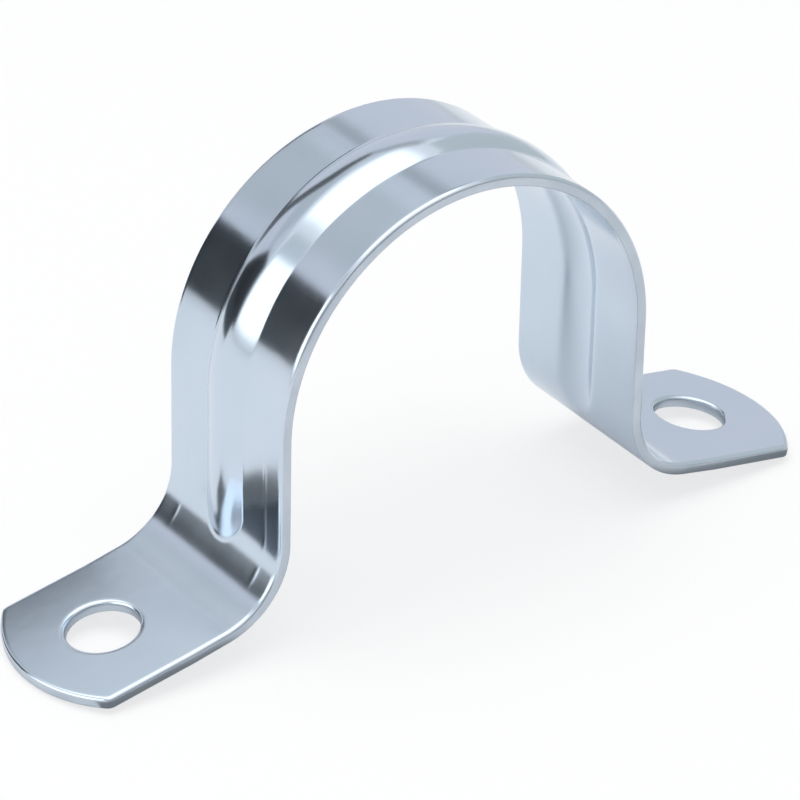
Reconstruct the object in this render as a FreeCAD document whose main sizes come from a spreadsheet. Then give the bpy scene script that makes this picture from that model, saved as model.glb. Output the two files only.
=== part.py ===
"""Two-hole conduit strap, pressed from one strip of zinc-plated sheet steel.

Frame: the conduit's axis runs along Y, the strap's length along X, +Z away from the wall.
The origin is below the middle of the strap, level with the lowest points of its two feet.
Body axes: origin on the conduit's axis, so the arch is centred on the body's own Y axis.
"""
import FreeCAD, Part
import Sketcher
import math
import os

NAME = "conduit_strap"
V = FreeCAD.Vector

# (alias, value or formula, note); lengths in mm, angles in degrees
CELLS = [
    ("Conduit_Dia", "44.2", "outside diameter of the conduit held"),
    ("Seat_Clear", "0.05", "radial play between conduit and arch"),
    ("Strap_Width", "20.6", "width of the strip"),
    ("Sheet_Thick", "1.3", "thickness of the strip"),
    ("Leg_Length", "12", "straight part of each leg"),
    ("Bend_Radius", "8.2", "inner radius of the bend between leg and foot"),
    ("Foot_Droop", "10", "slope of the foot, down from level"),
    ("Foot_Length", "18.4", "from the end of the bend to the tip"),
    ("End_Radius", "15.2", "radius of the foot's rounded end"),
    ("Corner_Radius", "1.2", "corner between the rounded end and the side"),
    ("Hole_Offset", "8.5", "from the end of the bend to the hole's centre"),
    ("Hole_Dia", "7.9", "screw hole"),
    ("Rib_Half", "3.5", "half width of the rib where it leaves the flat flange"),
    ("Rib_Height", "0.8", "rise of the rib above the flange"),
    ("Rib_Fillet", "1", "outer radius between flange and rib"),
    ("Edge_Break", "0.2", "broken edge of the sheared outline and of the hole's lower rim"),
    ("Hole_Round", "0.45", "roll-over at the hole's upper rim, where the punch went in"),
    ("Rib_Dip", "0.12", "how far the rib's pad reaches into the flange"),
    ("Groove_Depth", "1.5", "how far the groove's cutter reaches inward"),
    ("Inner_Radius", "=Conduit_Dia / 2 + Seat_Clear", "arch, inside"),
    ("Outer_Radius", "=Inner_Radius + Sheet_Thick", "arch, outside"),
    ("Bend_Turn", "=90 - Foot_Droop", "turn of the bend"),
    ("Bend_Under", "=Bend_Radius + Sheet_Thick", "bend, outer side"),
    ("Bend_Centre", "=Outer_Radius + Bend_Radius", "bend's centre from the strap's middle"),
    ("Foot_Sin", "=sin(Foot_Droop * 1deg)", "slope of the foot"),
    ("Foot_Cos", "=cos(Foot_Droop * 1deg)", "slope of the foot"),
    ("Foot_Start", "=Bend_Centre - Bend_Radius * Foot_Sin", "foot's top face starts here, X"),
    ("Foot_Level", "=0 - Leg_Length - Bend_Radius * Foot_Cos", "foot's top face starts here, Z"),
    ("Edge_Lift", "=Edge_Break * Foot_Sin", "rise of the tip's lowest point due to its broken edge"),
    (
        "Axis_Height",
        "=Leg_Length + Bend_Under * Foot_Cos + Foot_Length * Foot_Sin - Edge_Lift",
        "conduit's axis above the origin",
    ),
    ("Rib_Sum", "=(Rib_Half * Rib_Half + Rib_Height * Rib_Height) / (2 * Rib_Height)", "crest + fillet"),
    ("Crest_Outer", "=Rib_Sum - Rib_Fillet", "rib's crest, outside"),
    ("Crest_Inner", "=Crest_Outer - Sheet_Thick", "groove's crest, inside"),
    ("Crest_Centre", "=Outer_Radius + Rib_Height - Crest_Outer", "centre of both crest arcs"),
    ("Fillet_Inner", "=Rib_Fillet + Sheet_Thick", "groove's edge, inside"),
    ("Rib_Floor", "=Outer_Radius - Rib_Dip", "inner face of the rib's pad"),
    ("Groove_Floor", "=Inner_Radius - Groove_Depth", "inner face of the groove's cutter"),
    ("Rib_Top_Out", "=sqrt(2 * Bend_Radius * Rib_Height - Rib_Height ^ 2)", "crest meets the bend"),
    ("Rib_Skin", "=Sheet_Thick - Rib_Dip", "sheet left under the rib's pad"),
    ("Rib_Base_Out", "=sqrt(2 * Bend_Under * Rib_Skin - Rib_Skin ^ 2)", "pad's floor leaves the bend"),
    ("Rib_Length", "=Leg_Length + (Rib_Top_Out + Rib_Base_Out) / 2", "rib's straight run down the leg"),
    ("Groove_Run_Out", "=sqrt(2 * Bend_Under * Rib_Height - Rib_Height ^ 2)", "groove leaves the bend"),
    ("Groove_Length", "=Leg_Length + Groove_Run_Out + Sheet_Thick", "groove's straight run down the leg"),
]


def make_sheet(doc):
    """Spreadsheet with the driving sizes first and the derived ones under them."""
    sheet = doc.addObject("Spreadsheet::Sheet", "Sizes")
    for row, (alias, content, note) in enumerate(CELLS, start=1):
        sheet.set(f"A{row}", alias)
        sheet.set(f"B{row}", content)
        sheet.set(f"C{row}", note)
        sheet.setAlias(f"B{row}", alias)
    doc.recompute()
    return sheet


def origin_plane(body, role):
    return next(f for f in body.Origin.OriginFeatures if f.Role == role)


class Sketch:
    """Sketch on an origin plane, drawn near its final size and driven by the sheet's cells."""

    def __init__(self, body, name, role):
        self.obj = body.newObject("Sketcher::SketchObject", name)
        self.obj.AttachmentSupport = [(origin_plane(body, role), "")]
        self.obj.MapMode = "FlatFace"

    def line(self, start, end):
        return self.obj.addGeometry(Part.LineSegment(V(*start, 0), V(*end, 0)))

    def arc(self, centre, radius, first, last):
        """Arc drawn counter-clockwise between two directions from its centre, in degrees."""
        circle = Part.Circle(V(*centre, 0), V(0, 0, 1), radius)
        arc = Part.ArcOfCircle(circle, math.radians(first), math.radians(last))
        return self.obj.addGeometry(arc)

    def circle(self, centre, radius):
        return self.obj.addGeometry(Part.Circle(V(*centre, 0), V(0, 0, 1), radius))

    def fix(self, *args):
        return self.obj.addConstraint(Sketcher.Constraint(*args))

    def drive(self, formula, *args):
        """Dimension whose value comes from the sheet."""
        index = self.fix(*args)
        self.obj.setExpression(f"Constraints[{index}]", formula)

    def close(self):
        """Every sketch has to be fully constrained and solved."""
        if self.obj.solve() != 0 or not self.obj.FullyConstrained:
            raise RuntimeError(f"{self.obj.Name}: not solved or not fully constrained")
        return self.obj


AXIS_X, AXIS_Y, ROOT = -1, -2, -1
START, END, CENTRE = range(1, 4)


def draw_band(body, size):
    """Side view of half a strap without its foot: quarter of the arch, leg and bend."""
    sk = Sketch(body, "band_outline", "XZ_Plane")
    outer, inner = size("Outer_Radius"), size("Inner_Radius")
    leg, bend, under = size("Leg_Length"), size("Bend_Radius"), size("Bend_Under")
    droop, turn_x = size("Foot_Droop"), size("Bend_Centre")
    sine, cosine = size("Foot_Sin"), size("Foot_Cos")

    arch_out = sk.arc((0, 0), outer, 0, 90)
    arch_in = sk.arc((0, 0), inner, 0, 90)
    crown = sk.line((0, inner), (0, outer))
    leg_out = sk.line((outer, 0), (outer, -leg))
    leg_in = sk.line((inner, 0), (inner, -leg))
    bend_top = sk.arc((turn_x, -leg), bend, 180, 270 - droop)
    bend_under = sk.arc((turn_x, -leg), under, 180, 270 - droop)
    toe = sk.line(
        (turn_x - under * sine, -leg - under * cosine),
        (turn_x - bend * sine, -leg - bend * cosine),
    )

    sk.fix("Coincident", arch_out, CENTRE, ROOT, START)
    sk.fix("Coincident", arch_in, CENTRE, ROOT, START)
    sk.drive("Sizes.Outer_Radius", "Radius", arch_out, outer)
    sk.drive("Sizes.Inner_Radius", "Radius", arch_in, inner)
    sk.fix("Coincident", crown, START, arch_in, END)
    sk.fix("Coincident", crown, END, arch_out, END)
    sk.fix("PointOnObject", crown, START, AXIS_Y)
    sk.fix("PointOnObject", crown, END, AXIS_Y)
    sk.fix("PointOnObject", leg_out, START, AXIS_X)
    sk.fix("Tangent", leg_out, START, arch_out, START)
    sk.fix("PointOnObject", leg_in, START, AXIS_X)
    sk.fix("Tangent", leg_in, START, arch_in, START)
    sk.drive("Sizes.Leg_Length", "DistanceY", leg_out, END, leg_out, START, leg)
    sk.fix("Tangent", leg_out, END, bend_top, START)
    sk.fix("Tangent", leg_in, END, bend_under, START)
    sk.fix("Coincident", bend_under, CENTRE, bend_top, CENTRE)
    sk.drive("Sizes.Bend_Radius", "Radius", bend_top, bend)
    sk.fix("Coincident", toe, START, bend_under, END)
    sk.fix("Coincident", toe, END, bend_top, END)
    sk.fix("PointOnObject", bend_top, CENTRE, toe)
    sk.drive("Sizes.Bend_Turn * 1 deg", "Angle", toe, math.radians(size("Bend_Turn")))
    return sk.close()


def draw_foot(body, size):
    """Plan of the flat foot, on its sloping top face, with the screw hole."""
    sk = Sketch(body, "foot_outline", "XY_Plane")
    slope = FreeCAD.Rotation(V(0, 1, 0), size("Foot_Droop"))
    sk.obj.AttachmentOffset = FreeCAD.Placement(V(0, 0, 0), slope)
    sk.obj.setExpression("AttachmentOffset.Base.x", "Sizes.Foot_Start")
    sk.obj.setExpression("AttachmentOffset.Base.z", "Sizes.Foot_Level")
    sk.obj.setExpression("AttachmentOffset.Rotation.Angle", "Sizes.Foot_Droop * 1 deg")
    half, length, end = size("Strap_Width") / 2, size("Foot_Length"), size("End_Radius")
    corner, hole_x, hole = size("Corner_Radius"), size("Hole_Offset"), size("Hole_Dia") / 2

    # the corner arc touches the side and, from within, the rounded end
    corner_y = half - corner
    reach = end - corner
    corner_x = length - end + math.sqrt(reach ** 2 - corner_y ** 2)
    lean = math.degrees(math.asin(corner_y / reach))

    root = sk.line((0, -half), (0, half))
    side_far = sk.line((0, half), (corner_x, half))
    side_near = sk.line((0, -half), (corner_x, -half))
    corner_far = sk.arc((corner_x, corner_y), corner, lean, 90)
    corner_near = sk.arc((corner_x, -corner_y), corner, -90, -lean)
    tip = sk.arc((length - end, 0), end, -lean, lean)
    hole_edge = sk.circle((hole_x, 0), hole)

    sk.fix("Symmetric", root, START, root, END, ROOT, START)
    sk.fix("Vertical", root)
    sk.drive("Sizes.Strap_Width", "DistanceY", root, START, root, END, 2 * half)
    sk.fix("Coincident", side_far, START, root, END)
    sk.fix("Coincident", side_near, START, root, START)
    sk.fix("Horizontal", side_far)
    sk.fix("Horizontal", side_near)
    sk.fix("Tangent", side_far, END, corner_far, END)
    sk.fix("Tangent", side_near, END, corner_near, START)
    sk.fix("Tangent", corner_far, START, tip, END)
    sk.fix("Tangent", corner_near, END, tip, START)
    sk.drive("Sizes.Corner_Radius", "Radius", corner_far, corner)
    sk.fix("Equal", corner_near, corner_far)
    sk.drive("Sizes.End_Radius", "Radius", tip, end)
    sk.fix("PointOnObject", tip, CENTRE, AXIS_X)
    sk.drive("Sizes.Foot_Length - Sizes.End_Radius", "DistanceX", ROOT, START, tip, CENTRE, length - end)
    sk.fix("PointOnObject", hole_edge, CENTRE, AXIS_X)
    sk.drive("Sizes.Hole_Offset", "DistanceX", ROOT, START, hole_edge, CENTRE, hole_x)
    sk.drive("Sizes.Hole_Dia", "Diameter", hole_edge, 2 * hole)
    return sk.close()


def draw_rib_section(body, size, name, surface, crest, fillet, floor):
    """Section across the rib: a crest arc that runs into the flange through two fillet arcs."""
    sk = Sketch(body, name, "XY_Plane")
    centre, half = size("Crest_Centre"), size("Rib_Half")
    level, crest_r, fillet_r, floor_x = size(surface), size(crest), size(fillet), size(floor)
    lean = math.degrees(math.asin(half / (crest_r + fillet_r)))

    top = sk.arc((centre, 0), crest_r, -lean, lean)
    far = sk.arc((level + fillet_r, half), fillet_r, 180, 180 + lean)
    near = sk.arc((level + fillet_r, -half), fillet_r, 180 - lean, 180)
    wall_far = sk.line((level, half), (floor_x, half))
    base = sk.line((floor_x, half), (floor_x, -half))
    wall_near = sk.line((floor_x, -half), (level, -half))

    sk.fix("PointOnObject", top, CENTRE, AXIS_X)
    sk.drive("Sizes.Crest_Centre", "DistanceX", ROOT, START, top, CENTRE, centre)
    sk.drive(f"Sizes.{crest}", "Radius", top, crest_r)
    sk.fix("Tangent", far, END, top, END)
    sk.fix("Tangent", near, START, top, START)
    sk.drive(f"Sizes.{fillet}", "Radius", far, fillet_r)
    sk.fix("Equal", near, far)
    sk.fix("Horizontal", far, CENTRE, far, START)
    sk.fix("Horizontal", near, CENTRE, near, END)
    sk.drive(f"Sizes.{surface}", "DistanceX", ROOT, START, far, START, level)
    sk.fix("Vertical", far, START, near, END)
    sk.fix("Coincident", wall_far, START, far, START)
    sk.fix("Horizontal", wall_far)
    sk.fix("Coincident", base, START, wall_far, END)
    sk.fix("Vertical", base)
    sk.drive(f"Sizes.{floor}", "DistanceX", ROOT, START, base, START, floor_x)
    sk.fix("Coincident", wall_near, START, base, END)
    sk.fix("Coincident", wall_near, END, near, END)
    sk.fix("Horizontal", wall_near)
    return sk.close()


def extrude(body, name, sketch, formula, side="One side", down=False, kind="PartDesign::Pad"):
    feature = body.newObject(kind, name)
    feature.Profile = sketch
    feature.SideType = side
    feature.Reversed = down
    feature.setExpression("Length", formula)
    body.Document.recompute()
    return feature


def quarter_turn(body, name, sketch, kind):
    """Turn a section about the conduit's axis, from the leg up to the crown."""
    feature = body.newObject(kind, name)
    feature.Profile = sketch
    feature.ReferenceAxis = (sketch, ["V_Axis"])
    feature.Angle = 90
    feature.Reversed = True
    body.Document.recompute()
    return feature


def is_sheared(face, slope):
    """True for the faces cut through the sheet: the straight sides, the ends and the holes."""
    surface = face.Surface
    if isinstance(surface, Part.Plane):
        return abs(surface.Axis.y) > 0.5
    if isinstance(surface, Part.Cylinder):
        return any(surface.Axis.isEqual(sign * V(side * slope.x, 0, slope.z), 1e-6)
                   for sign in (1, -1) for side in (1, -1))
    return False


def rims(shape, size):
    """Names of the sheared edges: the holes' upper rims, and all the others."""
    slope = V(size("Foot_Sin"), 0, size("Foot_Cos"))
    walls = [face for face in shape.Faces if is_sheared(face, slope)]
    upper, others = [], []
    for index, edge in enumerate(shape.Edges, start=1):
        owners = [wall for wall in walls if any(edge.isSame(own) for own in wall.Edges)]
        if len(owners) != 1:
            continue
        wall = owners[0]
        punched = isinstance(edge.Curve, Part.Circle) and abs(edge.Curve.Radius - size("Hole_Dia") / 2) < 1e-6
        above = edge.CenterOfMass.z > wall.CenterOfMass.z
        names = upper if punched and above else others
        names.append(f"Edge{index}")
    return upper, others


def dress(body, name, base, edges, kind, dimension, formula):
    """Fillet or chamfer some edges of the base feature."""
    feature = body.newObject(kind, name)
    feature.Base = (base, edges)
    feature.setExpression(dimension, formula)
    body.Tip = feature
    body.Document.recompute()
    return feature


def build_strap(doc, sheet):
    """Half a strap is built and ribbed, then mirrored, then its sheared edges are dressed."""

    def size(alias):
        return float(sheet.get(alias))

    body = doc.addObject("PartDesign::Body", NAME)
    body.Label = NAME
    body.setExpression("Placement.Base.z", "Sizes.Axis_Height")

    extrude(body, "band", draw_band(body, size), "Sizes.Strap_Width", side="Symmetric")
    extrude(body, "foot", draw_foot(body, size), "Sizes.Sheet_Thick", down=True)
    plain = body.Shape.Volume

    rib = draw_rib_section(
        body, size, "rib_section", "Outer_Radius", "Crest_Outer", "Rib_Fillet", "Rib_Floor"
    )
    quarter_turn(body, "rib_arch", rib, "PartDesign::Revolution")
    extrude(body, "rib_leg", rib, "Sizes.Rib_Length", down=True)
    ribbed = body.Shape.Volume

    groove = draw_rib_section(
        body, size, "groove_section", "Inner_Radius", "Crest_Inner", "Fillet_Inner", "Groove_Floor"
    )
    quarter_turn(body, "groove_arch", groove, "PartDesign::Groove")
    extrude(body, "groove_leg", groove, "Sizes.Groove_Length", kind="PartDesign::Pocket")
    if not plain < body.Shape.Volume < ribbed:
        raise RuntimeError("the rib adds nothing or the groove cuts nothing")

    whole = body.newObject("PartDesign::Mirrored", "both_halves")
    whole.TransformMode = "Whole shape"
    whole.MirrorPlane = (origin_plane(body, "YZ_Plane"), [""])
    body.Tip = whole
    doc.recompute()

    upper, _ = rims(whole.Shape, size)
    punched = dress(body, "hole_rims", whole, upper, "PartDesign::Fillet", "Radius", "Sizes.Hole_Round")
    _, others = rims(punched.Shape, size)
    dress(body, "broken_edges", punched, others, "PartDesign::Chamfer", "Size", "Sizes.Edge_Break")
    return body


def check(doc, body):
    """Stop before anything is written if a feature failed or the solid is not sound."""
    for obj in doc.Objects:
        if "Invalid" in obj.State or "Error" in obj.State:
            raise RuntimeError(f"{obj.Name}: {obj.State}")
    shape = body.Shape
    if shape.isNull() or not shape.isValid() or len(shape.Solids) != 1:
        raise RuntimeError(f"{body.Label}: not one valid solid")


document = FreeCAD.newDocument("Strap")
sizes = make_sheet(document)
strap = build_strap(document, sizes)
check(document, strap)
os.makedirs("parts", exist_ok=True)
strap.Shape.exportStep(os.path.join("parts", f"{strap.Label}.step"))
print(strap.Label, strap.Shape.optimalBoundingBox(False, False), "volume", strap.Shape.Volume)
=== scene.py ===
import math

import bmesh
import bpy
from mathutils import Euler, Matrix, Vector


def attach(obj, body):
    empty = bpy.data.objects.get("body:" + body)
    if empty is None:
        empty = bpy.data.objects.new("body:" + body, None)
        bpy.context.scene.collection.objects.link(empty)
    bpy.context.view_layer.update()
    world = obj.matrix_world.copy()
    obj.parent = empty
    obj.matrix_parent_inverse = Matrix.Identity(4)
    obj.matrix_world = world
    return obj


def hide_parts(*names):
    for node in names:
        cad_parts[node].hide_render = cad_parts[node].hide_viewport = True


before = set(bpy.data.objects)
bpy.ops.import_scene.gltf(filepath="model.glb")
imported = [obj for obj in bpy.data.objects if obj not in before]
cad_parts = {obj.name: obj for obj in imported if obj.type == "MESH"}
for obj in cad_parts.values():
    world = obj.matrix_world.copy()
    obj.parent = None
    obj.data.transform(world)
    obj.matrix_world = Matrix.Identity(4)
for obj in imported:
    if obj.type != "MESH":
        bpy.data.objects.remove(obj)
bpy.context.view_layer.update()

MM = 0.001

# The strip before it is folded, and the folds: the same sizes as the CAD part, in metres.
SHEET = 1.3 * MM
HALF_WIDTH = 10.3 * MM
ARCH_OUTER = 23.45 * MM
LEG = 12.0 * MM
BEND = 8.2 * MM
DROOP = math.radians(10)
BEND_TURN = math.pi / 2 - DROOP
FOOT = 18.4 * MM
END_RADIUS = 15.2 * MM
CORNER = 1.2 * MM
HOLE_FROM_BEND = 8.5 * MM
HOLE_RADIUS = 3.95 * MM
EDGE_ROLL = 0.45 * MM
EDGE_BREAK = 0.2 * MM
RIB_HALF = 3.5 * MM
RIB_HEIGHT = 0.8 * MM
RIB_FILLET = 1.0 * MM
AXIS_HEIGHT = (
    LEG
    + (BEND + SHEET) * math.cos(DROOP)
    + (FOOT - EDGE_BREAK) * math.sin(DROOP)
)

# Faint forms that the CAD part leaves out: crowned feet, the bending tool's lines, waves in the sheet
# and a softer edge where the rib runs out.
FOOT_CROWN = 0.15 * MM
CROWN_FADE_IN = 4.0 * MM
TOOL_LINE_AT = 7.35 * MM
TOOL_LINE_HALF = 0.5 * MM
TOOL_LINE_HEIGHT = 0.018 * MM
TOOL_LINE_FROM_ARCH = 3.0 * MM
TOOL_LINE_FADE_IN = 2.0 * MM
TOOL_LINE_FADE_OUT = 1.0 * MM
TOOL_LINE_SHARE_OF_BEND = 0.55
WAVINESS = 0.05 * MM
WAVES_PER_METRE = 85.0
RUN_OUT_SOFTNESS = 0.35
LEAST_SOFTNESS = 0.001 * MM

# The finish: how much rougher the zinc is on the bends, and how deep its ripples and the edge's are.
STRETCHED_HAZE = 0.05
PLATE_RIPPLE = 0.04 * MM
EDGE_RIPPLE = 0.05 * MM

# Places along the strip, measured on its outer face from the middle of the arch.
ARCH_END = ARCH_OUTER * math.pi / 2
LEG_END = ARCH_END + LEG
BEND_END = LEG_END + BEND * BEND_TURN
TIP = BEND_END + FOOT
HOLE_AT = BEND_END + HOLE_FROM_BEND
BEND_MIDDLE = AXIS_HEIGHT - LEG - 0.62 * BEND

# How the flat strip is divided up: a flat margin inside each rim, then steps along, across and round.
MARGIN = 0.25 * MM
RIM_STEPS = 6
RIB_BORDER = 0.12 * MM
RIB_STEP = 0.14 * MM
FLAT_STEP = 0.8 * MM
TOOL_LINE_STEP = 0.125 * MM
ARCH_STEP = 0.45 * MM
RUN_OUT_STEP = 0.12 * MM
BEND_STEP = 0.25 * MM
OUTLINE_STEP = 0.35 * MM
CORNER_STEP_TURN = 0.12
RUN_OUT_TURN = math.radians(32)
FOOT_RINGS = (0.35, 0.7, 1.0)
MERGE_WITHIN = 0.002 * MM

# The cut edge's own finish starts this far below the outer face and stops just short of the inner one.
SHEARED_FROM = 0.36 * EDGE_ROLL
SHEARED_SHORT_OF = 0.0001 * MM


# ---------------------------------------------------------------- flat strip


def spaced(start, end, step):
    """Even places from start to end, both included, no further apart than step."""
    count = max(1, math.ceil(abs(end - start) / step))
    return [start + (end - start) * i / count for i in range(count + 1)]


def joined(*runs):
    """One list of places from runs that share their ends."""
    places = list(runs[0])
    for run in runs[1:]:
        places += run[1:]
    return places


def edge_section():
    """(inset, depth) down a sheared edge: outer face, both rounded rims, inner face."""
    section = [(EDGE_ROLL + MARGIN, 0.0)]
    turns = [math.pi / 2 * i / RIM_STEPS for i in range(RIM_STEPS + 1)]
    for turn in turns:
        section.append((EDGE_ROLL * (1 - math.sin(turn)), EDGE_ROLL * (1 - math.cos(turn))))
    for turn in turns:
        inset = EDGE_BREAK * (1 - math.cos(turn))
        section.append((inset, SHEET - EDGE_BREAK * (1 - math.sin(turn))))
    section.append((EDGE_ROLL + MARGIN, SHEET))
    return section


def end_outline():
    """Points and outward directions round one end of the strip, from side to side at the bend's end."""
    centre = TIP - END_RADIUS
    inner = END_RADIUS - CORNER
    corner_y = HALF_WIDTH - CORNER
    corner_s = centre + math.sqrt(inner**2 - corner_y**2)
    reach = math.asin(corner_y / inner)
    points = [((s, HALF_WIDTH), (0.0, 1.0)) for s in spaced(BEND_END, corner_s, OUTLINE_STEP)[:-1]]
    for turn in spaced(math.pi / 2, reach, CORNER_STEP_TURN)[:-1]:
        out = (math.cos(turn), math.sin(turn))
        points.append(((corner_s + CORNER * out[0], corner_y + CORNER * out[1]), out))
    for turn in spaced(reach, 0.0, OUTLINE_STEP / END_RADIUS)[:-1]:
        out = (math.cos(turn), math.sin(turn))
        points.append(((centre + END_RADIUS * out[0], END_RADIUS * out[1]), out))
    mirrored = [((s, -y), (a, -b)) for (s, y), (a, b) in reversed(points)]
    return points + [((TIP, 0.0), (1.0, 0.0))] + mirrored


def strip_columns():
    """Places across one face of the strip, closer together on the rib and on the bending tool's line."""
    flat = HALF_WIDTH - EDGE_ROLL - MARGIN
    rib = RIB_HALF + RIB_BORDER
    line_start = TOOL_LINE_AT - TOOL_LINE_HALF
    line_end = TOOL_LINE_AT + TOOL_LINE_HALF
    half = joined(
        spaced(0.0, rib, RIB_STEP),
        spaced(rib, line_start, FLAT_STEP),
        spaced(line_start, line_end, TOOL_LINE_STEP),
        spaced(line_end, flat, FLAT_STEP),
    )
    return [-y for y in reversed(half[1:])] + half


def strip_stations():
    """Places along the strip from one bend's end to the other's."""
    run_out = LEG_END + BEND * RUN_OUT_TURN
    half = joined(
        spaced(0.0, ARCH_END, ARCH_STEP),
        spaced(ARCH_END, LEG_END, FLAT_STEP),
        spaced(LEG_END, run_out, RUN_OUT_STEP),
        spaced(run_out, BEND_END, BEND_STEP),
    )
    return [-s for s in reversed(half[1:])] + half


def band_faces(mesh, rows, closed=False):
    """Quads between rows of corners, each row as long as the next."""
    for row, following in zip(rows, rows[1:]):
        count = len(row) if closed else len(row) - 1
        for i in range(count):
            j = (i + 1) % len(row)
            mesh.faces.new((row[i], row[j], following[j], following[i]))


def mark_sheared(mesh):
    """Marks the faces of the cut edges with a 1, for their own finish."""
    sheared = mesh.faces.layers.int.new("sheared")
    for face in mesh.faces:
        depths = [-corner.co.z for corner in face.verts]
        face[sheared] = int(min(depths) > SHEARED_FROM and max(depths) < SHEET - SHEARED_SHORT_OF)


def build_blank():
    """The strip cut and punched but still flat: x along it, y across it, z up to its outer face at 0."""
    mesh = bmesh.new()

    def corner(s, y, depth):
        return mesh.verts.new((s, y, -depth))

    columns = strip_columns()
    edge = edge_section()
    ring = [(y, 0.0) for y in columns]
    ring += [(HALF_WIDTH - inset, depth) for inset, depth in edge[1:-1]]
    ring += [(y, SHEET) for y in reversed(columns)]
    ring += [(inset - HALF_WIDTH, depth) for inset, depth in reversed(edge[1:-1])]
    band_faces(mesh, [[corner(s, y, d) for y, d in ring] for s in strip_stations()], closed=True)

    outline = end_outline()
    for side in (-1, 1):
        rows = [
            [corner(side * (s - a * inset), y - b * inset, depth) for (s, y), (a, b) in outline]
            for inset, depth in edge
        ]
        band_faces(mesh, rows)
        inner = [(s - a * edge[0][0], y - b * edge[0][0]) for (s, y), (a, b) in outline]
        border = inner + [(BEND_END, y) for y in columns[1:-1]]
        headings = [math.atan2(y, s - HOLE_AT) for s, y in border]
        for depth, wall in ((0.0, 0), (SHEET, -1)):
            radius = HOLE_RADIUS + edge[wall][0]
            loops = [[corner(side * s, y, depth) for s, y in border]]
            for share in FOOT_RINGS:
                loops.append(
                    [
                        corner(
                            side * (s + share * (HOLE_AT + radius * math.cos(turn) - s)),
                            y + share * (radius * math.sin(turn) - y),
                            depth,
                        )
                        for (s, y), turn in zip(border, headings)
                    ]
                )
            band_faces(mesh, loops, closed=True)
        wall_loops = [
            [
                corner(
                    side * (HOLE_AT + (HOLE_RADIUS + inset) * math.cos(turn)),
                    (HOLE_RADIUS + inset) * math.sin(turn),
                    depth,
                )
                for turn in headings
            ]
            for inset, depth in edge
        ]
        band_faces(mesh, wall_loops, closed=True)

    bmesh.ops.remove_doubles(mesh, verts=mesh.verts, dist=MERGE_WITHIN)
    bmesh.ops.recalc_face_normals(mesh, faces=mesh.faces)
    mark_sheared(mesh)
    for face in mesh.faces:
        face.smooth = True
    open_edges = [e for e in mesh.edges if len(e.link_faces) != 2]
    if open_edges:
        raise RuntimeError(f"the flat strip has {len(open_edges)} open edges")
    blank = bpy.data.meshes.new("flat_strip")
    mesh.to_mesh(blank)
    mesh.free()
    return blank


# ------------------------------------------------------------------- folding


class Term:
    """A number field in a node tree that can be added, multiplied and so on."""

    tree = None

    def __init__(self, socket):
        self.socket = socket

    @classmethod
    def of(cls, operation, *values, clamp=False):
        node = cls.tree.nodes.new("ShaderNodeMath")
        node.operation = operation
        node.use_clamp = clamp
        for slot, value in zip(node.inputs, values):
            if isinstance(value, Term):
                cls.tree.links.new(value.socket, slot)
            else:
                slot.default_value = value
        return cls(node.outputs[0])

    def __add__(self, other):
        return Term.of("ADD", self, other)

    def __sub__(self, other):
        return Term.of("SUBTRACT", self, other)

    def __rsub__(self, other):
        return Term.of("SUBTRACT", other, self)

    def __mul__(self, other):
        return Term.of("MULTIPLY", self, other)

    def __truediv__(self, other):
        return Term.of("DIVIDE", self, other)

    __radd__ = __add__


def least(a, b):
    return Term.of("MINIMUM", a, b)


def most(a, b):
    return Term.of("MAXIMUM", a, b)


def sine(a):
    return Term.of("SINE", a)


def cosine(a):
    return Term.of("COSINE", a)


def mixed(low, high, share):
    return low + (high - low) * share


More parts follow.
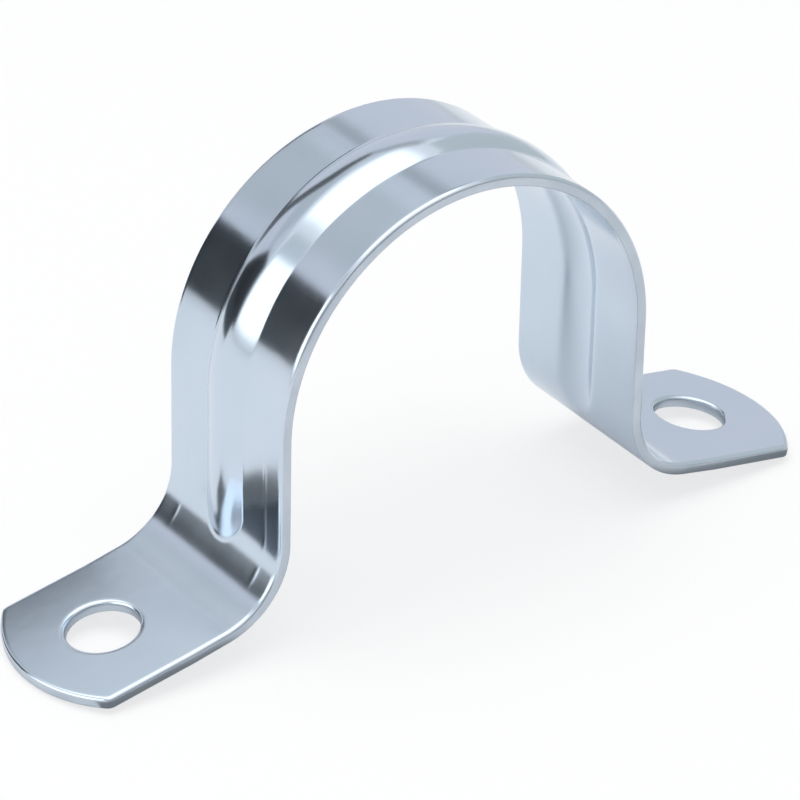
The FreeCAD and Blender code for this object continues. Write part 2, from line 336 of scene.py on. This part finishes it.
def build_fold_tree():
    """Geometry Nodes tree that presses the rib into the flat strip and folds it over arch, legs and feet."""
    tree = bpy.data.node_groups.new("press_and_fold", "GeometryNodeTree")
    tree.interface.new_socket("Geometry", in_out="INPUT", socket_type="NodeSocketGeometry")
    for name, default in (
        ("Arch Outer Radius", ARCH_OUTER),
        ("Leg Length", LEG),
        ("Bend Radius", BEND),
        ("Bend Turn", BEND_TURN),
        ("Axis Height", AXIS_HEIGHT),
        ("Rib Half Width", RIB_HALF),
        ("Rib Height", RIB_HEIGHT),
        ("Rib Fillet", RIB_FILLET),
        ("Run Out Softness", RUN_OUT_SOFTNESS),
        ("Half Width", HALF_WIDTH),
        ("Foot Crown", FOOT_CROWN),
        ("Tool Line Place", TOOL_LINE_AT),
        ("Tool Line Half Width", TOOL_LINE_HALF),
        ("Tool Line Height", TOOL_LINE_HEIGHT),
        ("Waviness", WAVINESS),
        ("Wave Scale", WAVES_PER_METRE),
    ):
        socket = tree.interface.new_socket(name, in_out="INPUT", socket_type="NodeSocketFloat")
        socket.default_value = default
    for name in ("Metal", "Sheared Edge"):
        tree.interface.new_socket(name, in_out="INPUT", socket_type="NodeSocketMaterial")
    tree.interface.new_socket("Geometry", in_out="OUTPUT", socket_type="NodeSocketGeometry")
    given = tree.nodes.new("NodeGroupInput")
    result = tree.nodes.new("NodeGroupOutput")
    Term.tree = tree

    def size(name):
        return Term(given.outputs[name])

    arch = size("Arch Outer Radius")
    leg = size("Leg Length")
    bend = size("Bend Radius")
    bend_turn = size("Bend Turn")
    rib_half = size("Rib Half Width")
    rib_height = size("Rib Height")
    rib_fillet = size("Rib Fillet")

    position = tree.nodes.new("GeometryNodeInputPosition")
    parts = tree.nodes.new("ShaderNodeSeparateXYZ")
    tree.links.new(position.outputs[0], parts.inputs[0])
    along = Term(parts.outputs[0])
    across = Term(parts.outputs[1])
    depth = 0.0 - Term(parts.outputs[2])

    # How far round the arch, down the leg, round the bend and out on the foot a point lies.
    side = Term.of("SIGN", along)
    reach = Term.of("ABSOLUTE", along)
    arch_turn = least(reach / arch, math.pi / 2)
    past_arch = most(reach - arch * (math.pi / 2), 0.0)
    down_leg = least(past_arch, leg)
    past_leg = most(past_arch - leg, 0.0)
    turned = least(past_leg / bend, bend_turn)
    out_on_foot = most(past_leg - bend * bend_turn, 0.0)

    # The rib's section: a crest arc between two fillet arcs.
    off_centre = Term.of("ABSOLUTE", across)
    crest = (rib_half * rib_half + rib_height * rib_height) / (rib_height * 2.0) - rib_fillet
    tangent_at = rib_half * crest / (crest + rib_fillet)
    lean = least(off_centre / crest, (rib_half - off_centre) / rib_fillet)
    lean = Term.of("MULTIPLY", lean, 1.0, clamp=True)
    upright = Term.of("SQRT", 1.0 - lean * lean)
    on_crest = Term.of("LESS_THAN", off_centre, tangent_at)
    rise = mixed(rib_fillet * (1.0 - upright), rib_height - crest * (1.0 - upright), on_crest)
    lift = rise + depth * (1.0 - upright)

    # The straight rib dies where the bend's face comes out past it.
    bend_at_depth = bend + depth
    swing = 1.0 - cosine(turned)
    proud = lift - bend_at_depth * swing
    soft = most(lift * size("Run Out Softness"), LEAST_SOFTNESS)
    shown = Term.of("ADD", proud / soft * 0.5, 0.5, clamp=True)
    lifted = shown * proud + soft * shown * (1.0 - shown)

    # A foot is a little crowned across, from just past the bend.
    share = off_centre / size("Half Width")
    crown_start = Term.of("MULTIPLY", out_on_foot, 1 / CROWN_FADE_IN, clamp=True)
    sag = size("Foot Crown") * share * share * crown_start

    # The bending tool leaves a faint raised line along each side of the leg's end and the bend.
    off_line = Term.of("ABSOLUTE", off_centre - size("Tool Line Place")) / size("Tool Line Half Width")
    line_profile = 0.5 + cosine(least(off_line, 1.0) * math.pi) * 0.5
    past_start = past_arch - TOOL_LINE_FROM_ARCH
    line_start = Term.of("MULTIPLY", past_start, 1 / TOOL_LINE_FADE_IN, clamp=True)
    before_end = bend * (bend_turn * TOOL_LINE_SHARE_OF_BEND) - past_leg
    line_end = Term.of("MULTIPLY", before_end, 1 / TOOL_LINE_FADE_OUT, clamp=True)
    tool_line = size("Tool Line Height") * line_profile * line_start * line_end

    # Formed sheet is never quite true: a slow wave, the same on both faces.
    on_sheet = tree.nodes.new("ShaderNodeCombineXYZ")
    tree.links.new(along.socket, on_sheet.inputs[0])
    tree.links.new(across.socket, on_sheet.inputs[1])
    noise = tree.nodes.new("ShaderNodeTexNoise")
    noise.inputs["Detail"].default_value = 0.0
    tree.links.new(on_sheet.outputs[0], noise.inputs["Vector"])
    tree.links.new(size("Wave Scale").socket, noise.inputs["Scale"])
    wave = (Term(noise.outputs[0]) - 0.5) * size("Waviness")
    pushed = wave + tool_line

    radius = arch - depth
    x = sine(arch_turn) * (radius + lifted) + bend_at_depth * swing
    x = x + out_on_foot * cosine(turned - math.pi / 2)
    x = x + pushed * sine(arch_turn) * cosine(turned)
    fall = down_leg + bend_at_depth * sine(turned) + out_on_foot * sine(math.pi / 2 - turned) + sag
    z = cosine(arch_turn) * (radius + lifted) - fall + size("Axis Height")
    z = z + pushed * (cosine(arch_turn) * cosine(turned) + sine(turned))
    y = across - Term.of("SIGN", across) * depth * lean * shown

    placed = tree.nodes.new("ShaderNodeCombineXYZ")
    for slot, value in zip(placed.inputs, (x * side, y, z)):
        tree.links.new(value.socket, slot)
    move = tree.nodes.new("GeometryNodeSetPosition")
    realize = tree.nodes.new("GeometryNodeRealizeInstances")
    finish = tree.nodes.new("GeometryNodeSetMaterial")
    edge_finish = tree.nodes.new("GeometryNodeSetMaterial")
    sheared = tree.nodes.new("GeometryNodeInputNamedAttribute")
    sheared.data_type = "INT"
    sheared.inputs["Name"].default_value = "sheared"
    tree.links.new(given.outputs["Geometry"], move.inputs["Geometry"])
    tree.links.new(placed.outputs[0], move.inputs["Position"])
    tree.links.new(move.outputs[0], realize.inputs[0])
    tree.links.new(realize.outputs[0], finish.inputs["Geometry"])
    tree.links.new(given.outputs["Metal"], finish.inputs["Material"])
    tree.links.new(finish.outputs[0], edge_finish.inputs["Geometry"])
    tree.links.new(sheared.outputs["Attribute"], edge_finish.inputs["Selection"])
    tree.links.new(given.outputs["Sheared Edge"], edge_finish.inputs["Material"])
    tree.links.new(edge_finish.outputs[0], result.inputs[0])
    return tree


def build_strap(metal, edge):
    """The folded strap as one plain mesh at the origin, in place of the CAD node."""
    pressed = bpy.data.objects.new("strap_blank", build_blank())
    bpy.context.scene.collection.objects.link(pressed)
    tree = build_fold_tree()
    fold = pressed.modifiers.new("press_and_fold", "NODES")
    fold.node_group = tree
    finishes = {"Metal": metal, "Sheared Edge": edge}
    for item in tree.interface.items_tree:
        if item.in_out == "INPUT" and item.name in finishes:
            fold[item.identifier] = finishes[item.name]
    evaluated = pressed.evaluated_get(bpy.context.evaluated_depsgraph_get())
    mesh = bpy.data.meshes.new_from_object(evaluated)
    mesh.name = "strap_folded"
    strap = bpy.data.objects.new("strap", mesh)
    bpy.context.scene.collection.objects.link(strap)
    bpy.data.objects.remove(pressed)
    return strap


# ------------------------------------------------------------------ material


def new_metal(name):
    """A plain metal, with its nodes, links and shader."""
    metal = bpy.data.materials.new(name)
    metal.use_nodes = True
    nodes = metal.node_tree.nodes
    shader = nodes["Principled BSDF"]
    shader.inputs["Metallic"].default_value = 1.0
    return metal, nodes, metal.node_tree.links, shader


def clouds(nodes, links, place, scale, detail):
    """Noise fixed to the strap, as a number from 0 to 1."""
    noise = nodes.new("ShaderNodeTexNoise")
    noise.inputs["Scale"].default_value = scale
    noise.inputs["Detail"].default_value = detail
    links.new(place.outputs["Object"], noise.inputs["Vector"])
    return noise.outputs["Fac"]


def tint(nodes, links, shader, amount, low, high):
    """Colours the shader between a low and a high (amount, colour)."""
    ramp = nodes.new("ShaderNodeValToRGB")
    for stop, (position, colour) in zip(ramp.color_ramp.elements, (low, high)):
        stop.position = position
        stop.color = (*colour, 1)
    links.new(amount, ramp.inputs["Fac"])
    links.new(ramp.outputs["Color"], shader.inputs["Base Color"])


def ripple(nodes, links, shader, height, strength, distance):
    """Ripples the shader's surface by a height."""
    bump = nodes.new("ShaderNodeBump")
    bump.inputs["Strength"].default_value = strength
    bump.inputs["Distance"].default_value = distance
    links.new(height, bump.inputs["Height"])
    links.new(bump.outputs["Normal"], shader.inputs["Normal"])


def zinc_plate():
    """Bright zinc plating: smooth, slightly blue, faintly clouded and rippled, hazier on the bends."""
    metal, nodes, links, shader = new_metal("bright_zinc_plate")
    place = nodes.new("ShaderNodeTexCoord")
    cloud = clouds(nodes, links, place, 70.0, 2.0)
    tint(nodes, links, shader, cloud, (0.3, (0.565, 0.655, 0.75)), (0.7, (0.615, 0.69, 0.785)))

    rough = nodes.new("ShaderNodeMapRange")
    rough.inputs["To Min"].default_value = 0.11
    rough.inputs["To Max"].default_value = 0.17
    links.new(clouds(nodes, links, place, 160.0, 3.0), rough.inputs["Value"])

    # The zinc is hazier where the bend stretched it.
    height = nodes.new("ShaderNodeSeparateXYZ")
    links.new(place.outputs["Object"], height.inputs[0])
    off_bend = nodes.new("ShaderNodeMath")
    off_bend.operation = "SUBTRACT"
    off_bend.inputs[1].default_value = BEND_MIDDLE
    links.new(height.outputs["Z"], off_bend.inputs[0])
    distance = nodes.new("ShaderNodeMath")
    distance.operation = "ABSOLUTE"
    links.new(off_bend.outputs[0], distance.inputs[0])
    stretched = nodes.new("ShaderNodeMapRange")
    stretched.interpolation_type = "SMOOTHSTEP"
    stretched.inputs["From Min"].default_value = 0.2 * BEND
    stretched.inputs["From Max"].default_value = 1.1 * BEND
    stretched.inputs["To Min"].default_value = STRETCHED_HAZE
    stretched.inputs["To Max"].default_value = 0.0
    links.new(distance.outputs[0], stretched.inputs["Value"])
    total = nodes.new("ShaderNodeMath")
    total.operation = "ADD"
    links.new(rough.outputs["Result"], total.inputs[0])
    links.new(stretched.outputs["Result"], total.inputs[1])
    links.new(total.outputs[0], shader.inputs["Roughness"])

    ripple(nodes, links, shader, clouds(nodes, links, place, 260.0, 2.0), 0.25, PLATE_RIPPLE)
    return metal


def sheared_edge():
    """Cut edge of the strip under its plating: a little duller and darker than the faces."""
    metal, nodes, links, shader = new_metal("plated_sheared_edge")
    shader.inputs["Roughness"].default_value = 0.32
    place = nodes.new("ShaderNodeTexCoord")
    grain = clouds(nodes, links, place, 240.0, 2.0)
    tint(nodes, links, shader, grain, (0.35, (0.48, 0.54, 0.61)), (0.65, (0.54, 0.60, 0.67)))
    ripple(nodes, links, shader, grain, 0.15, EDGE_RIPPLE)
    return metal


# --------------------------------------------------------------------- stage


def pure_background(shade, white, nodes, links, output):
    """Shows white to camera, glossy and transmission rays, and shade to the rest."""
    path = nodes.new("ShaderNodeLightPath")
    seen = path.outputs["Is Camera Ray"]
    for name in ("Is Glossy Ray", "Is Transmission Ray"):
        either = nodes.new("ShaderNodeMath")
        either.operation = "MAXIMUM"
        links.new(seen, either.inputs[0])
        links.new(path.outputs[name], either.inputs[1])
        seen = either.outputs[0]
    mix = nodes.new("ShaderNodeMixShader")
    links.new(seen, mix.inputs["Fac"])
    links.new(shade, mix.inputs[1])
    links.new(white, mix.inputs[2])
    links.new(mix.outputs[0], output)


def light_world():
    """A plain, even sky."""
    world = bpy.data.worlds.new("studio_world")
    bpy.context.scene.world = world
    world.use_nodes = True
    nodes = world.node_tree.nodes
    sky = nodes["Background"]
    sky.inputs["Color"].default_value = (0.96, 0.98, 1.0, 1)
    sky.inputs["Strength"].default_value = 0.62
    white = nodes.new("ShaderNodeBackground")
    white.inputs["Color"].default_value = (1, 1, 1, 1)
    white.inputs["Strength"].default_value = 1.0
    pure_background(
        sky.outputs[0],
        white.outputs[0],
        nodes,
        world.node_tree.links,
        nodes["World Output"].inputs["Surface"],
    )


def card_mesh(name, first_edge, second_edge, cells=8):
    """A sheet of cells between two edges with as many corners each, with a UV map along and across it."""

    def at(edge, share):
        place = share * (len(edge) - 1)
        corner = min(int(place), len(edge) - 2)
        return Vector(edge[corner]).lerp(Vector(edge[corner + 1]), place - corner)

    length = cells * (len(first_edge) - 1)
    form = bmesh.new()
    uv = form.loops.layers.uv.new("UVMap")
    rows = []
    firsts = [at(first_edge, i / length) for i in range(length + 1)]
    seconds = [at(second_edge, i / length) for i in range(length + 1)]
    for j in range(cells + 1):
        rows.append([form.verts.new(a.lerp(b, j / cells)) for a, b in zip(firsts, seconds)])
    for j in range(cells):
        for i in range(length):
            face = form.faces.new((rows[j][i], rows[j][i + 1], rows[j + 1][i + 1], rows[j + 1][i]))
            for loop, place in zip(face.loops, ((i, j), (i + 1, j), (i + 1, j + 1), (i, j + 1))):
                loop[uv].uv = (place[0] / length, place[1] / cells)
    mesh = bpy.data.meshes.new(name)
    form.to_mesh(mesh)
    form.free()
    return mesh


def lay_floor():
    """A pale lit table under the strap, which keeps its shadow."""
    mesh = card_mesh("floor", ((-4, -4, 0), (4, -4, 0)), ((-4, 4, 0), (4, 4, 0)), cells=1)
    paper = bpy.data.materials.new("white_table")
    paper.use_nodes = True
    nodes = paper.node_tree.nodes
    links = paper.node_tree.links
    nodes.remove(nodes["Principled BSDF"])
    matt = nodes.new("ShaderNodeBsdfDiffuse")
    matt.inputs["Color"].default_value = (0.9, 0.9, 0.9, 1)
    glow = nodes.new("ShaderNodeEmission")
    glow.inputs["Color"].default_value = (1, 1, 1, 1)
    glow.inputs["Strength"].default_value = 1.0
    path = nodes.new("ShaderNodeLightPath")
    share = nodes.new("ShaderNodeMapRange")
    share.inputs["To Min"].default_value = 0.15
    share.inputs["To Max"].default_value = 0.72
    links.new(path.outputs["Is Camera Ray"], share.inputs["Value"])
    mix = nodes.new("ShaderNodeMixShader")
    links.new(share.outputs["Result"], mix.inputs["Fac"])
    links.new(matt.outputs[0], mix.inputs[1])
    links.new(glow.outputs[0], mix.inputs[2])
    links.new(mix.outputs[0], nodes["Material Output"].inputs["Surface"])
    mesh.materials.append(paper)
    floor = bpy.data.objects.new("floor", mesh)
    floor.location.z = -0.0002
    bpy.context.scene.collection.objects.link(floor)


def studio_card(name, first_edge, second_edge, colour, strength, soft):
    """A panel or dark flag of the studio, seen only where the metal mirrors it.

    soft is how far in from its start, its end, its first and its second edge it fades out, as shares.
    """
    mesh = card_mesh(name, first_edge, second_edge)
    look = bpy.data.materials.new(name)
    look.use_nodes = True
    nodes = look.node_tree.nodes
    links = look.node_tree.links
    nodes.remove(nodes["Principled BSDF"])
    light = nodes.new("ShaderNodeEmission")
    light.inputs["Color"].default_value = (*colour, 1)
    light.inputs["Strength"].default_value = strength
    clear = nodes.new("ShaderNodeBsdfTransparent")
    place = nodes.new("ShaderNodeTexCoord")
    parts = nodes.new("ShaderNodeSeparateXYZ")
    links.new(place.outputs["UV"], parts.inputs[0])
    fades = []
    for number, width in enumerate(soft):
        axis, flipped = divmod(number, 2)
        if width == 0:
            continue
        fade = nodes.new("ShaderNodeMapRange")
        fade.interpolation_type = "SMOOTHSTEP"
        fade.inputs["From Min"].default_value = 1.0 if flipped else 0.0
        fade.inputs["From Max"].default_value = 1.0 - width if flipped else width
        links.new(parts.outputs[axis], fade.inputs["Value"])
        fades.append(fade.outputs["Result"])
    whole = fades[0]
    for fade in fades[1:]:
        product = nodes.new("ShaderNodeMath")
        product.operation = "MULTIPLY"
        links.new(whole, product.inputs[0])
        links.new(fade, product.inputs[1])
        whole = product.outputs[0]
    mix = nodes.new("ShaderNodeMixShader")
    links.new(whole, mix.inputs["Fac"])
    links.new(clear.outputs[0], mix.inputs[1])
    links.new(light.outputs[0], mix.inputs[2])
    links.new(mix.outputs[0], nodes["Material Output"].inputs["Surface"])
    mesh.materials.append(look)
    panel = bpy.data.objects.new(name, mesh)
    panel.visible_camera = False
    panel.visible_diffuse = False
    panel.visible_shadow = False
    panel.visible_transmission = False
    bpy.context.scene.collection.objects.link(panel)


def build_studio():
    """Walls, soft boxes and flags round the strap, all in its reflections only. Places are in metres."""
    lilac = (0.93, 0.94, 1.0)
    cool = (0.93, 0.97, 1.0)
    green = (0.94, 1.0, 0.99)
    white = (0.98, 1.0, 1.0)
    black = (0.8, 0.9, 1.0)

    def facing(name, y, lower, upper, colour, strength, soft):
        """A card across the view at one y, between a lower and an upper edge of (x, z) corners."""
        edges = [[(x, y, z) for x, z in edge] for edge in (lower, upper)]
        studio_card(name, *edges, colour, strength, soft)

    def sideways(name, x, lower, upper, colour, strength, soft):
        """A card along the side at one x, between a lower and an upper edge of (y, z) corners."""
        edges = [[(x, y, z) for y, z in edge] for edge in (lower, upper)]
        studio_card(name, *edges, colour, strength, soft)

    def level(name, z, near, far, colour, strength, soft):
        """A card lying flat at one z, between a near and a far edge of (x, y) corners."""
        edges = [[(x, y, z) for x, y in edge] for edge in (near, far)]
        studio_card(name, *edges, colour, strength, soft)

    # Walls all round, and the grey that hangs on the back one.
    facing(
        "back_wall",
        1.5,
        ((-1.6, -0.01), (2.4, -0.01)),
        ((-1.6, 1.8), (2.4, 1.8)),
        lilac,
        0.82,
        (0.04,) * 4,
    )
    facing(
        "back_shade",
        1.4,
        ((-1.0, 0.6), (0.46, 0.6)),
        ((-1.0, 1.6), (0.46, 1.6)),
        cool,
        0.66,
        (0.2,) * 4,
    )
    facing(
        "high_shade",
        1.15,
        ((0.08, 1.02), (0.7, 1.02)),
        ((0.08, 1.5), (0.7, 1.5)),
        cool,
        0.86,
        (0.3, 0.3, 0.4, 0.2),
    )
    facing(
        "front_wall",
        -1.5,
        ((-1.8, -0.01), (1.8, -0.01)),
        ((-1.8, 1.1), (1.8, 1.1)),
        cool,
        0.4,
        (0, 0, 0, 0.4),
    )
    sideways(
        "left_wall",
        -1.7,
        ((-1.5, -0.01), (1.5, -0.01)),
        ((-1.5, 2.4), (1.5, 2.4)),
        cool,
        0.75,
        (0.05,) * 4,
    )
    sideways(
        "right_wall",
        1.5,
        ((-1.5, -0.01), (1.2, -0.01)),
        ((-1.5, 2.2), (1.2, 2.2)),
        green,
        0.7,
        (0.05, 0.05, 0, 0.12),
    )

    # Soft boxes: the bright streak down the rib.
    sideways(
        "left_soft_box",
        -1.0,
        ((-0.45, 0.03), (0.86, 0.03)),
        ((-0.45, 0.95), (0.78, 0.95)),
        white,
        1.9,
        (0.15, 0.08, 0.15, 0.15),
    )
    level(
        "top_soft_box",
        1.0,
        ((-0.62, -0.6), (0.55, -0.6)),
        ((-0.62, 0.78), (0.55, 0.78)),
        white,
        1.8,
        (0.15,) * 4,
    )

    # Dark arm behind: the dark line that wanders down the rib.
    facing(
        "dark_arm",
        1.2,
        ((0.20, -0.03), (0.16, 0.12), (0.12, 0.27), (0.12, 0.43), (0.16, 0.58), (0.28, 0.69), (0.47, 0.78)),
        ((-0.12, -0.03), (-0.10, 0.30), (-0.13, 0.58), (-0.09, 0.90), (0.0, 1.06), (0.24, 1.06), (0.47, 1.1)),
        cool,
        0.13,
        (0, 0.05, 0.25, 0.2),
    )
    facing(
        "dark_arm_tip",
        1.14,
        ((0.43, 0.72), (0.60, 0.90), (0.95, 1.10), (1.40, 1.45)),
        ((0.43, 1.10), (0.60, 1.36), (0.95, 1.75), (1.40, 2.3)),
        cool,
        0.5,
        (0.04, 0.3, 0.35, 0.4),
    )

    # Dark flag and mat: the dark band across the arch.
    facing(
        "dark_flag",
        1.0,
        ((-1.15, -0.02), (-0.11, -0.02)),
        ((-1.15, 0.82), (-0.70, 0.62)),
        black,
        0.035,
        (0.03, 0.03, 0, 0.03),
    )
    level(
        "dark_mat",
        0.0004,
        ((-0.12, 0.14), (-0.035, 0.14)),
        ((-0.95, 1.02), (-0.11, 1.02)),
        black,
        0.07,
        (0.03, 0.03, 0.03, 0),
    )

    # Shades on the table by the strap: the dark patch low on the left leg, and painted contact shadow under
    # both feet.
    level(
        "table_shade",
        0.0003,
        ((-0.0445, 0.0105), (-0.032, 0.0105)),
        ((-0.0428, 0.0205), (-0.035, 0.0205)),
        cool,
        0.14,
        (0.1, 0.1, 0, 0.12),
    )
    # Painted contact shadow: a dark sheet on the table along each foot's near edge, seen only in the metal.
    for side, name in ((-1, "left"), (1, "right")):
        level(
            f"{name}_contact_shade",
            0.0002,
            ((side * 0.024, -0.018), (side * 0.048, -0.018)),
            ((side * 0.024, -0.0095), (side * 0.048, -0.0095)),
            cool,
            0.3,
            (0.2, 0.05, 0.4, 0),
        )


def hang_lamp():
    """One broad lamp overhead for the shadow. The metal mirrors the soft boxes instead."""
    data = bpy.data.lights.new("top_lamp", "AREA")
    data.shape = "RECTANGLE"
    data.size = 0.8
    data.size_y = 0.8
    data.energy = 5.0
    lamp = bpy.data.objects.new("top_lamp", data)
    lamp.location = (-0.1, 0.0, 0.9)
    towards_strap = Vector((0, 0, 0)) - lamp.location
    lamp.rotation_euler = towards_strap.to_track_quat("-Z", "Y").to_euler()
    lamp.visible_glossy = False
    bpy.context.scene.collection.objects.link(lamp)


def place_camera():
    """Long lens, from the left and above, a touch rolled."""
    target = Vector((-2.630, -1.928, 19.196)) * MM
    azimuth = math.radians(-36.230)
    elevation = math.radians(30.862)
    roll = math.radians(1.323)
    distance = 537.45 * MM
    back = Vector(
        (
            math.sin(azimuth) * math.cos(elevation),
            -math.cos(azimuth) * math.cos(elevation),
            math.sin(elevation),
        )
    )
    data = bpy.data.cameras.new("camera")
    data.lens = 230.78
    data.sensor_width = 36.0
    data.clip_start = 0.01
    data.clip_end = 20.0
    camera = bpy.data.objects.new("camera", data)
    turn = Euler((math.pi / 2 - elevation, 0, azimuth)).to_matrix() @ Matrix.Rotation(roll, 3, "Z")
    camera.matrix_world = Matrix.Translation(target + back * distance) @ turn.to_4x4()
    bpy.context.scene.collection.objects.link(camera)
    bpy.context.scene.camera = camera


place_camera()
light_world()
lay_floor()
build_studio()
hang_lamp()

strap = build_strap(zinc_plate(), sheared_edge())
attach(strap, "root")
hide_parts("conduit_strap")

bpy.context.scene.view_settings.view_transform = "Standard"
